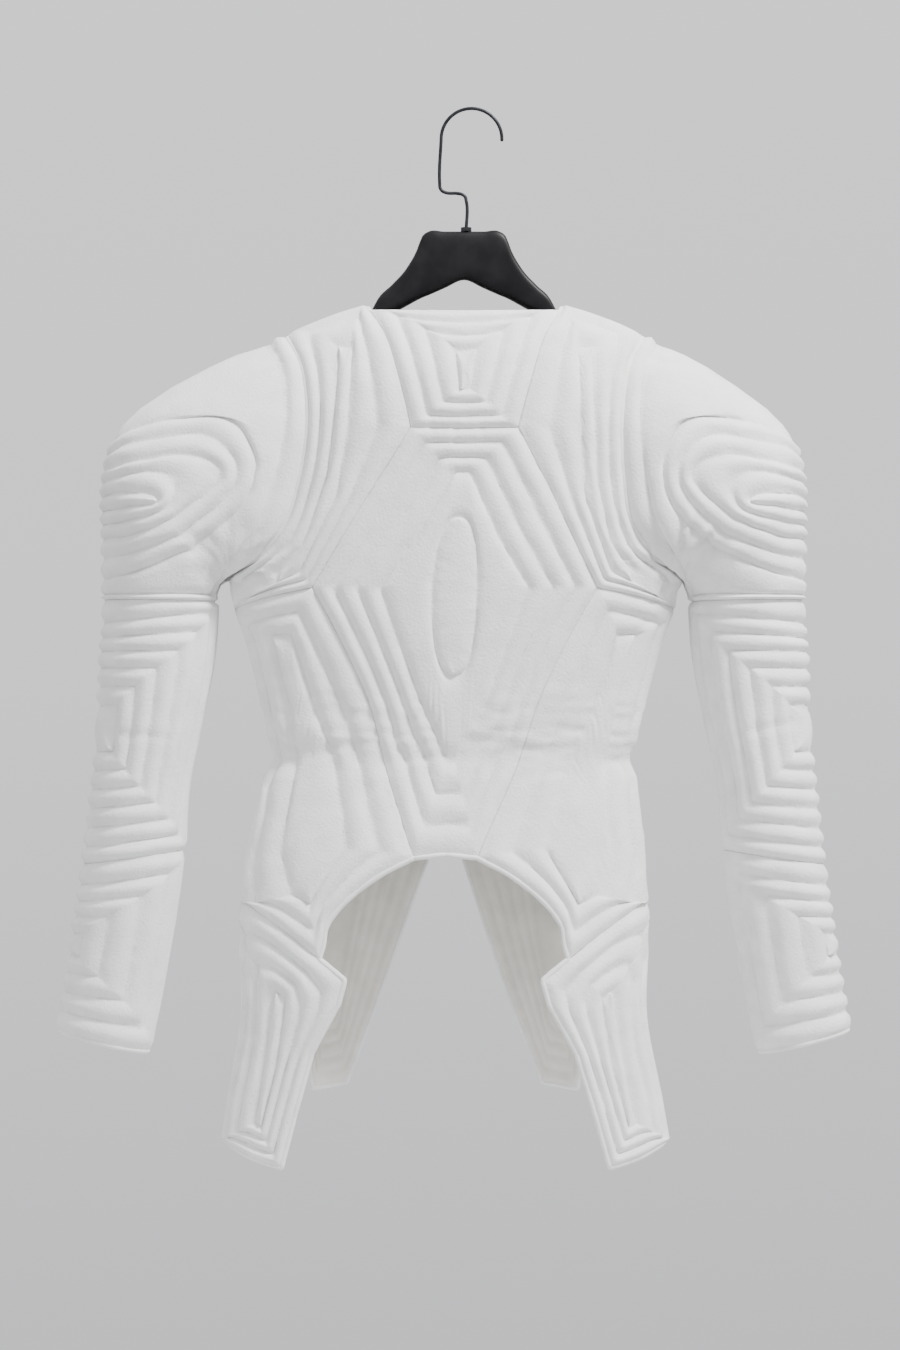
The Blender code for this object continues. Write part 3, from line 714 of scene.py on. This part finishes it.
def skin(rings, middle, joins, form, depth_of, seed):
    """Vertices and faces of one side of the cloth, and how many vertices a ring has."""
    count = len(rings[0][0])
    verts = []
    for k, (loop, raised, near_stitches) in enumerate(rings + [(middle, 1.0, 0.0)]):
        spots, direction = outward(form, loop)
        steps = np.linalg.norm(np.diff(spots, axis=0, append=spots[:1]), axis=1)
        along = np.concatenate([[0], np.cumsum(steps)[:-1]])
        verts.append(spots - direction * depth_of(spots, along, raised, near_stitches, seed + k)[:, None])
    faces = []
    for k in range(len(rings) - 1):
        start = k * count
        for i in range(count):
            j = (i + 1) % count
            faces.append((start + i, start + j, start + count + j, start + count + i))
    edge = (len(rings) - 1) * count
    ridge = len(rings) * count
    for i in range(count):
        j = (i + 1) % count
        corners = [edge + i, edge + j, ridge + joins[j]]
        if joins[i] != joins[j]:
            corners.append(ridge + joins[i])
        faces.append(tuple(corners))
    return np.vstack(verts), faces, count


def outer_depth(world, along, raised, near_stitches, seed):
    relief = unevenness(world, along, near_stitches, seed) + creases(world)
    return RISE - (RISE + CROWN) * raised - relief


def inner_depth(world, along, raised, near_stitches, seed):
    return WALL - INNER_RISE * (1 - raised) - 0.3 * unevenness(world, along, near_stitches, seed)


def mesh_piece(name, verts, faces, materials, inside_from=None):
    """A smooth mesh object from places in millimetres. Faces from inside_from on take the second material."""
    data = bpy.data.meshes.new(name)
    data.from_pydata([tuple(v) for v in np.asarray(verts) * MM], [], faces)
    for material in materials:
        data.materials.append(material)
    if inside_from is not None:
        slots = np.zeros(len(data.polygons), dtype=np.int32)
        slots[inside_from:] = 1
        data.polygons.foreach_set("material_index", slots)
    data.validate()
    data.update()
    data.shade_smooth()
    thing = bpy.data.objects.new(name, data)
    bpy.context.scene.collection.objects.link(thing)
    return thing


def face_outward(thing):
    """Faces turned to the outside of a closed body."""
    body = bmesh.new()
    body.from_mesh(thing.data)
    bmesh.ops.recalc_face_normals(body, faces=body.faces[:])
    body.to_mesh(thing.data)
    body.free()


def flat_cut(form, rings, middle, joins):
    """The flat cut's width, length and area in metres, from the form's true area inside the outline."""
    verts, faces, _ = skin(rings, middle, joins, form, lambda spots, *rest: np.zeros(len(spots)), 0)
    corners = np.array([(f[0], f[1], f[2], f[-1]) for f in faces])
    a, b, c, d = (verts[corners[:, k]] for k in range(4))
    halves = np.linalg.norm(np.cross(b - a, c - a), axis=1) + np.linalg.norm(np.cross(c - a, d - a), axis=1)
    area = halves.sum() / 2
    outline = rings[0][0]
    x, y = outline[:, 0], outline[:, 1]
    paper = abs(np.dot(x, np.roll(y, -1)) - np.dot(y, np.roll(x, -1))) / 2
    scale = math.sqrt(area / paper)
    width, length = (outline.max(axis=0) - outline.min(axis=0)) * scale * MM
    return (width, length), min(area * MM * MM, 0.999 * width * length)


def panel(name, form, loops, channels, core_section, seed):
    """One quilted panel: the outside, the shallower inside, and the rim that joins them."""
    rings = quilted_rings(loops, channels)
    valleys = [ring[0] for ring in rings if ring[1] < 0.001][1:]
    middle, joins = core_rings(rings, *core_section)
    verts, faces, count = skin(rings, middle, joins, form, outer_depth, seed)
    picked = [ring for k, ring in enumerate(rings) if k % 2 == 0 or k == len(rings) - 1 or ring[1] < 0.001]
    inner_verts, inner_faces, _ = skin(picked, middle, joins, form, inner_depth, seed + 100)
    start = len(verts)
    inside_from = len(faces)
    faces += [tuple(start + v for v in face[::-1]) for face in inner_faces]
    for i in range(count):
        j = (i + 1) % count
        faces.append((j, i, start + i, start + j))
    verts = np.vstack([verts, inner_verts])
    thing = mesh_piece(name + "_quilted", verts, faces, [CLOTH, LINING], inside_from)
    face_outward(thing)
    flat, area = flat_cut(form, picked, middle, joins)
    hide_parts(name)
    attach(thing, "root")
    threads = stitching(name, form, valleys, seed)
    rolls = edge_rolls(name, form, loops[0])
    return thing


# Thread


STITCH_PITCH = 3.6
STITCH_LENGTH = 2.5
STITCH_HALF = 0.24


def stitching(name, form, valleys, seed):
    """The stitches that lie along a panel's valleys, one small spindle each, as one piece."""
    verts = []
    faces = []
    for k, loop in enumerate(valleys):
        spots, direction = outward(form, loop)
        spots = spots - direction * (RISE - 0.25)
        closed = np.vstack([spots, spots[:1]])
        along = np.concatenate([[0], np.cumsum(np.linalg.norm(np.diff(closed, axis=0), axis=1))])
        number = int(along[-1] // STITCH_PITCH)
        if number < 4:
            continue
        starts = np.arange(number) * along[-1] / number
        ends = starts + STITCH_LENGTH
        ups = np.vstack([direction, direction[:1]])

        def at(where, values, along=along):
            return np.column_stack([np.interp(where, along, values[:, c]) for c in range(3)])

        head, tail = at(starts, closed), at(np.minimum(ends, along[-1]), closed)
        up = at(starts, ups)
        up /= np.linalg.norm(up, axis=1)[:, None]
        way = tail - head
        side = np.cross(way, up)
        side /= np.maximum(np.linalg.norm(side, axis=1), 1e-9)[:, None]
        centre = (head + tail) / 2
        for h, t, c, u, s in zip(head, tail, centre, up, side):
            base = len(verts)
            verts += [h, t, c + s * STITCH_HALF, c + u * STITCH_HALF, c - s * STITCH_HALF, c - u * STITCH_HALF]
            for a, b in ((2, 3), (3, 4), (4, 5), (5, 2)):
                faces.append((base, base + a, base + b))
                faces.append((base + 1, base + b, base + a))
    thing = mesh_piece(name + "_stitches", verts, faces, [THREAD])
    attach(thing, "root")
    return thing


# Edge binding

FREE_EDGES = {
    "back_yoke": ["neck_back"],
    "back_centre": ["hem_centre"],
    "back_side_upper": ["neck_side"],
    "back_side_lower": ["arch"],
    "back_tail": ["tail_outer", "tail_end", "tail_inner"],
    "front": ["neck_front", "front_hem", "front_tip", "front_cut"],
}
ROLL_RADIUS = 2.6
ROLL_DEPTH = 4.6
ROLL_SIDES = 10
WELT_RADIUS = 2.9
WELT_DEPTH = 4.9


def tube(path, radius, sides, closed=False):
    """Vertices and faces of a round tube along a path, in millimetres, with rounded ends."""
    path = np.asarray(path, dtype=float)
    way = np.gradient(path, axis=0)
    if closed:
        way = np.roll(path, -1, axis=0) - np.roll(path, 1, axis=0)
    way /= np.linalg.norm(way, axis=1)[:, None]
    up = np.array([0.0, 1.0, 0.0])
    first = np.cross(way, up)
    first /= np.maximum(np.linalg.norm(first, axis=1), 1e-9)[:, None]
    second = np.cross(first, way)
    radii = np.broadcast_to(radius, len(path)).astype(float)
    if not closed:
        path = np.vstack([path[:1] - way[:1] * radii[0] * 0.6, path, path[-1:] + way[-1:] * radii[-1] * 0.6])
        first, second = (np.vstack([a[:1], a, a[-1:]]) for a in (first, second))
        radii = np.concatenate([[radii[0] * 0.55], radii, [radii[-1] * 0.55]])
    turn = 2 * math.pi * np.arange(sides) / sides
    rings = path[:, None] + radii[:, None, None] * (
        np.cos(turn)[None, :, None] * first[:, None] + np.sin(turn)[None, :, None] * second[:, None]
    )
    verts = rings.reshape(-1, 3)
    faces = []
    last = len(path) if closed else len(path) - 1
    for k in range(last):
        here, there = k * sides, (k + 1) % len(path) * sides
        for i in range(sides):
            j = (i + 1) % sides
            faces.append((here + i, here + j, there + j, there + i))
    if not closed:
        faces.append(tuple(range(sides)))
        end = (len(path) - 1) * sides
        faces.append(tuple(end + i for i in range(sides)))
    return verts, faces


def joined(parts):
    """Several (vertices, faces) as one."""
    verts = []
    faces = []
    start = 0
    for some, others in parts:
        verts.append(some)
        faces += [tuple(start + v for v in face) for face in others]
        start += len(some)
    return np.vstack(verts), faces


def roll_along(form, line):
    spots, direction = outward(form, line)
    puckers = lattice(np.column_stack([np.arange(len(line)) / 1.6, spots[:, 0] / 40, spots[:, 2] / 40]), 2)
    return spots - direction * ROLL_DEPTH, ROLL_RADIUS + 0.22 * puckers


def armhole_welt(form, outline, hand, label):
    """The seam allowances, sewn together as one roll inside the armhole."""
    upper = outline[RING_STEPS + 1:]
    behind = to_cloth(SEAM_LINES["armhole"][::-1] * (hand, 1))
    ahead = to_cloth(SEAM_LINES["armhole"][1:] * (hand, 1))
    torso_way = np.vstack([outward(torso_form(False), behind)[1], outward(torso_form(True), ahead)[1]])
    spots, sleeve_way = outward(form, upper)
    way = torso_way + sleeve_way
    way /= np.linalg.norm(way, axis=1)[:, None]
    verts, faces = tube((spots - way * WELT_DEPTH)[:-1], WELT_RADIUS, ROLL_SIDES, closed=True)
    thing = mesh_piece(f"armhole_seam_{label}", verts, faces, [BINDING])
    face_outward(thing)
    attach(thing, "root")
    return thing


def edge_rolls(name, form, outline):
    """The turned and stitched edge along a panel's free edges, as one piece."""
    parts = []
    if name.startswith("sleeve_forearm"):
        line = outline[:RING_STEPS + 1]
        path, radius = roll_along(form, line[:-1])
        parts.append(tube(path, radius, ROLL_SIDES, closed=True))
    else:
        kind, _, label = name.rpartition("_") if name.endswith(("left", "right")) else (name, "", "")
        for seam in FREE_EDGES.get(kind, []):
            hands = (1, -1) if not label else ((-1,) if label == "left" else (1,))
            for hand in hands:
                line = to_cloth(SEAM_LINES[seam] * (hand, 1))
                path, radius = roll_along(form, line)
                parts.append(tube(path, radius, ROLL_SIDES))
    if not parts:
        return None
    verts, faces = joined(parts)
    thing = mesh_piece(name + "_edge", verts, faces, [BINDING])
    face_outward(thing)
    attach(thing, "root")
    return thing


# Materials


def material(name, colour, roughness, metallic=0.0, sheen=0.0):
    """A new material and its shader, with its even values set on the sockets."""
    made = bpy.data.materials.new(name)
    made.use_nodes = True
    shader = made.node_tree.nodes["Principled BSDF"]
    shader.inputs["Base Color"].default_value = (*colour, 1.0)
    shader.inputs["Roughness"].default_value = roughness
    shader.inputs["Metallic"].default_value = metallic
    shader.inputs["Sheen Weight"].default_value = sheen
    shader.inputs["Sheen Roughness"].default_value = 0.4
    return made, shader


def noise(tree, scale, detail=2.0, stretch=(1, 1, 1)):
    """Noise over the object's own places, in cells per metre."""
    place = tree.nodes.new("ShaderNodeTexCoord")
    scaled = tree.nodes.new("ShaderNodeMapping")
    scaled.inputs["Scale"].default_value = stretch
    grain = tree.nodes.new("ShaderNodeTexNoise")
    grain.inputs["Scale"].default_value = scale
    grain.inputs["Detail"].default_value = detail
    tree.links.new(place.outputs["Object"], scaled.inputs["Vector"])
    tree.links.new(scaled.outputs["Vector"], grain.inputs["Vector"])
    return grain.outputs["Fac"]


def tinted(tree, shader, factor, dark, light, low=0.35, high=0.65):
    """The base colour runs from dark to light with the factor."""
    ramp = tree.nodes.new("ShaderNodeValToRGB")
    ramp.color_ramp.elements[0].position = low
    ramp.color_ramp.elements[1].position = high
    ramp.color_ramp.elements[0].color = (*dark, 1.0)
    ramp.color_ramp.elements[1].color = (*light, 1.0)
    tree.links.new(factor, ramp.inputs["Fac"])
    tree.links.new(ramp.outputs["Color"], shader.inputs["Base Color"])


def bumped(tree, shader, layers):
    """Relief from (height, distance in metres) layers, laid one over another."""
    normal = None
    for height, distance in layers:
        bump = tree.nodes.new("ShaderNodeBump")
        bump.inputs["Strength"].default_value = 1.0
        bump.inputs["Distance"].default_value = distance
        tree.links.new(height, bump.inputs["Height"])
        if normal:
            tree.links.new(normal, bump.inputs["Normal"])
        normal = bump.outputs["Normal"]
    tree.links.new(normal, shader.inputs["Normal"])


def cloth_material(name, dark, light, nap):
    made, shader = material(name, light, 0.95, sheen=0.25)
    tree = made.node_tree
    tinted(tree, shader, noise(tree, 45, 3.0), dark, light)
    fine = noise(tree, 1500, 3.0)
    coarse = noise(tree, 420, 2.0)
    bumped(tree, shader, [(coarse, nap), (fine, nap * 0.35)])
    return made


CLOTH = cloth_material("brushed_cloth", (0.80, 0.80, 0.79), (0.87, 0.87, 0.865), 0.0006)
LINING = cloth_material("inside_cloth", (0.74, 0.72, 0.66), (0.82, 0.80, 0.74), 0.0003)
BINDING = cloth_material("edge_cloth", (0.80, 0.80, 0.78), (0.87, 0.87, 0.855), 0.0003)
THREAD = cloth_material("thread", (0.66, 0.66, 0.65), (0.76, 0.76, 0.75), 0.0001)


def plastic_material():
    made, shader = material("satin_plastic", (0.010, 0.010, 0.012), 0.42)
    tree = made.node_tree
    shader.inputs["Specular IOR Level"].default_value = 0.18
    tinted(tree, shader, noise(tree, 60), (0.004, 0.004, 0.005), (0.008, 0.008, 0.009))
    bumped(tree, shader, [(noise(tree, 2600, 2.0), 0.00006)])
    return made


def wire_material():
    made, shader = material("plated_wire", (0.035, 0.038, 0.042), 0.4, metallic=0.6)
    shader.inputs["Specular IOR Level"].default_value = 0.25
    tree = made.node_tree
    tinted(tree, shader, noise(tree, 200, 3.0), (0.018, 0.019, 0.022), (0.034, 0.036, 0.04))
    bumped(tree, shader, [(noise(tree, 900, 3.0, (1, 1, 0.2)), 0.00004)])
    return made


PLASTIC = plastic_material()
WIRE = wire_material()


# Pieces


def add_torso():
    outline, core = pattern(YOKE, mirrored=True)
    loops = [to_cloth(outline), to_cloth(core)]
    panel("back_yoke", torso_form(False), loops, [(3, NARROW)], NARROW[1:], 1)
    outline, core = pattern(CENTRE_BACK, mirrored=True)
    loops = [to_cloth(outline), to_cloth(core), to_cloth(oval_inside(core))]
    panel("back_centre", torso_form(False), loops, [(3, NARROW), (1, WIDE)], WIDE[1:], 2)
    seed = 3
    for hand, label in ((-1, "left"), (1, "right")):
        for name, rows, count, front in (
            ("back_side_upper", SIDE_BACK, 2, False),
            ("back_side_lower", SIDE_BACK_LOW, 2, False),
            ("back_tail", TAIL, 3, False),
            ("front", FRONT, 5, True),
        ):
            loops = [to_cloth(loop) for loop in pattern(rows, hand)]
            core_section = WIDE[1:] if name == "back_side_lower" else NARROW[1:]
            panel(f"{name}_{label}", torso_form(front), loops, [(count, NARROW)], core_section, seed)
            seed += 1


def add_sleeves():
    seed = 20
    for hand, label in ((-1, "left"), (1, "right")):
        for part, start, length, loops, channels in (
            ("cap", 0, CAP_LENGTH, cap_loops(), [(1, NARROW), (1, WIDE), (2, NARROW), (2, NARROW)]),
            ("elbow", 1, ELBOW_LENGTH, sleeve_loops(ELBOW_LENGTH, *ELBOW_CORE), [(6, NARROW)]),
            ("forearm", 2, FOREARM_LENGTH, sleeve_loops(FOREARM_LENGTH, *FOREARM_CORE), [(4, NARROW)]),
        ):
            form = sleeve_form(hand, start, length)
            welts = [armhole_welt(form, loops[0], hand, label)] if part == "cap" else []
            panel(f"sleeve_{part}_{label}", form, loops, channels, NARROW[1:], seed)
            seed += 1


def add_hanger():
    """The moulded hanger, finer than its solid."""
    half = np.vstack([HANGER[:0:-1] * (-1, 1, 1, 1), HANGER])
    outs = np.linspace(-HANGER[-1, 0], HANGER[-1, 0], 121)
    sides = 36
    turn = 2 * math.pi * (np.arange(sides) + 0.5) / sides
    rings = []
    for out in outs:
        top, bottom, thick = (float(smooth(half, k, np.array(out))) for k in (1, 2, 3))
        y = thick * signed_power(np.cos(turn), 0.55)
        down = (top + bottom) / 2 - (bottom - top) / 2 * signed_power(np.sin(turn), 0.55)
        rings.append(np.column_stack([np.full(sides, HANGER_X + out), y, -NECK_DROP - down]))
    ends = []
    for ring, way in ((rings[0], -1), (rings[-1], 1)):
        middle = ring.mean(axis=0)
        ends.append([middle + (ring - middle) * (scale, scale, scale) + (way * shift, 0, 0)
                     for scale, shift in ((0.8, 1.6), (0.45, 2.6))])
    rings = ends[0][::-1] + rings + ends[1]
    verts = np.vstack(rings)
    faces = []
    for k in range(len(rings) - 1):
        for i in range(sides):
            j = (i + 1) % sides
            faces.append((k * sides + i, k * sides + j, (k + 1) * sides + j, (k + 1) * sides + i))
    faces.append(tuple(range(sides)))
    faces.append(tuple(len(verts) - sides + i for i in range(sides)))
    body = mesh_piece("hanger_moulding", verts, faces, [PLASTIC])
    face_outward(body)
    body.data.set_sharp_from_angle(angle=math.radians(40))
    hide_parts("hanger_body")
    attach(body, "root")
    return body


def add_hook():
    half_wire = HOOK_WIRE / 2
    bend = []
    for degrees in np.linspace(-3, 177, 61):
        angle = math.radians(degrees)
        bend.append((HOOK_RADIUS * math.cos(angle), -HOOK_RADIUS + half_wire + HOOK_RADIUS * math.sin(angle)))
    foot = [(x, -down) for x, down in HOOK_FOOT]
    rough = np.array([bend[-1]] + foot)
    along = np.concatenate([[0], np.cumsum(np.linalg.norm(np.diff(rough, axis=0), axis=1))])
    at = np.linspace(0, along[-1], 90)[1:]
    fine = np.column_stack([smooth(np.column_stack([along, rough]), k, at) for k in (1, 2)])
    route = np.vstack([bend, fine])
    path = np.column_stack([route[:, 0], np.zeros(len(route)), route[:, 1]])
    verts, faces = tube(path, half_wire, 16)
    hook = mesh_piece("hook_wire", verts, faces, [WIRE])
    face_outward(hook)
    hook.data.set_sharp_from_angle(angle=math.radians(50))
    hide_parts("hanger_hook")
    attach(hook, "root")
    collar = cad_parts["hanger_collar"]
    collar.data.materials.clear()
    collar.data.materials.append(WIRE)


# Room, lights and camera


def add_stage():
    body = bmesh.new()
    bmesh.ops.create_circle(body, cap_ends=True, segments=96, radius=1.2)
    data = bpy.data.meshes.new("floor")
    body.to_mesh(data)
    body.free()
    made, shader = material("floor_grey", (0.62, 0.63, 0.645), 0.9)
    tinted(made.node_tree, shader, noise(made.node_tree, 6), (0.61, 0.62, 0.635), (0.63, 0.64, 0.655))
    data.materials.append(made)
    floor = bpy.data.objects.new("floor", data)
    floor.location = (0, 0, -1.42)
    bpy.context.scene.collection.objects.link(floor)


def add_light(name, place, target, size, power, colour=(1, 1, 1)):
    data = bpy.data.lights.new(name, "AREA")
    data.shape = "DISK"
    data.size = size
    data.energy = power
    data.color = colour
    lamp = bpy.data.objects.new(name, data)
    lamp.location = place
    way = np.array(target) - np.array(place)
    flat = math.hypot(way[0], way[1])
    lamp.rotation_euler = (math.atan2(flat, -way[2]), 0, math.atan2(-way[0], way[1]))
    bpy.context.scene.collection.objects.link(lamp)


def add_light_and_camera():
    world = bpy.data.worlds.new("room")
    world.use_nodes = True
    tree = world.node_tree
    back = tree.nodes["Background"]
    place = tree.nodes.new("ShaderNodeTexCoord")
    split = tree.nodes.new("ShaderNodeSeparateXYZ")
    ramp = tree.nodes.new("ShaderNodeValToRGB")
    spread = tree.nodes.new("ShaderNodeMapRange")
    spread.inputs["From Min"].default_value = -1.0
    tree.links.new(place.outputs["Generated"], split.inputs["Vector"])
    tree.links.new(split.outputs["Z"], spread.inputs["Value"])
    tree.links.new(spread.outputs["Result"], ramp.inputs["Fac"])
    tree.links.new(ramp.outputs["Color"], back.inputs["Color"])
    stops = ((0.0, 0.20), (0.38, 0.42), (0.5, 0.60), (0.62, 0.66), (1.0, 0.95))
    while len(ramp.color_ramp.elements) < len(stops):
        ramp.color_ramp.elements.new(0.5)
    for element, (position, level) in zip(ramp.color_ramp.elements, stops):
        element.position = position
        element.color = (level * 0.985, level * 0.985, level * 1.02, 1.0)
    back.inputs["Strength"].default_value = 1.75
    bpy.context.scene.world = world
    add_light("key", (1.35, -1.25, 1.85), (0, 0, -0.5), 0.6, 175, (1.0, 0.99, 0.975))
    data = bpy.data.cameras.new("camera")
    data.lens = 91.8
    data.sensor_width = 36
    data.sensor_fit = "AUTO"
    data.clip_start = 0.05
    data.clip_end = 20
    camera = bpy.data.objects.new("camera", data)
    camera.location = (-0.020, -3.2, -0.525)
    camera.rotation_euler = (math.radians(90), 0, 0)
    bpy.context.scene.collection.objects.link(camera)
    bpy.context.scene.camera = camera


add_light_and_camera()
add_stage()
add_hanger()
add_hook()
add_torso()
add_sleeves()
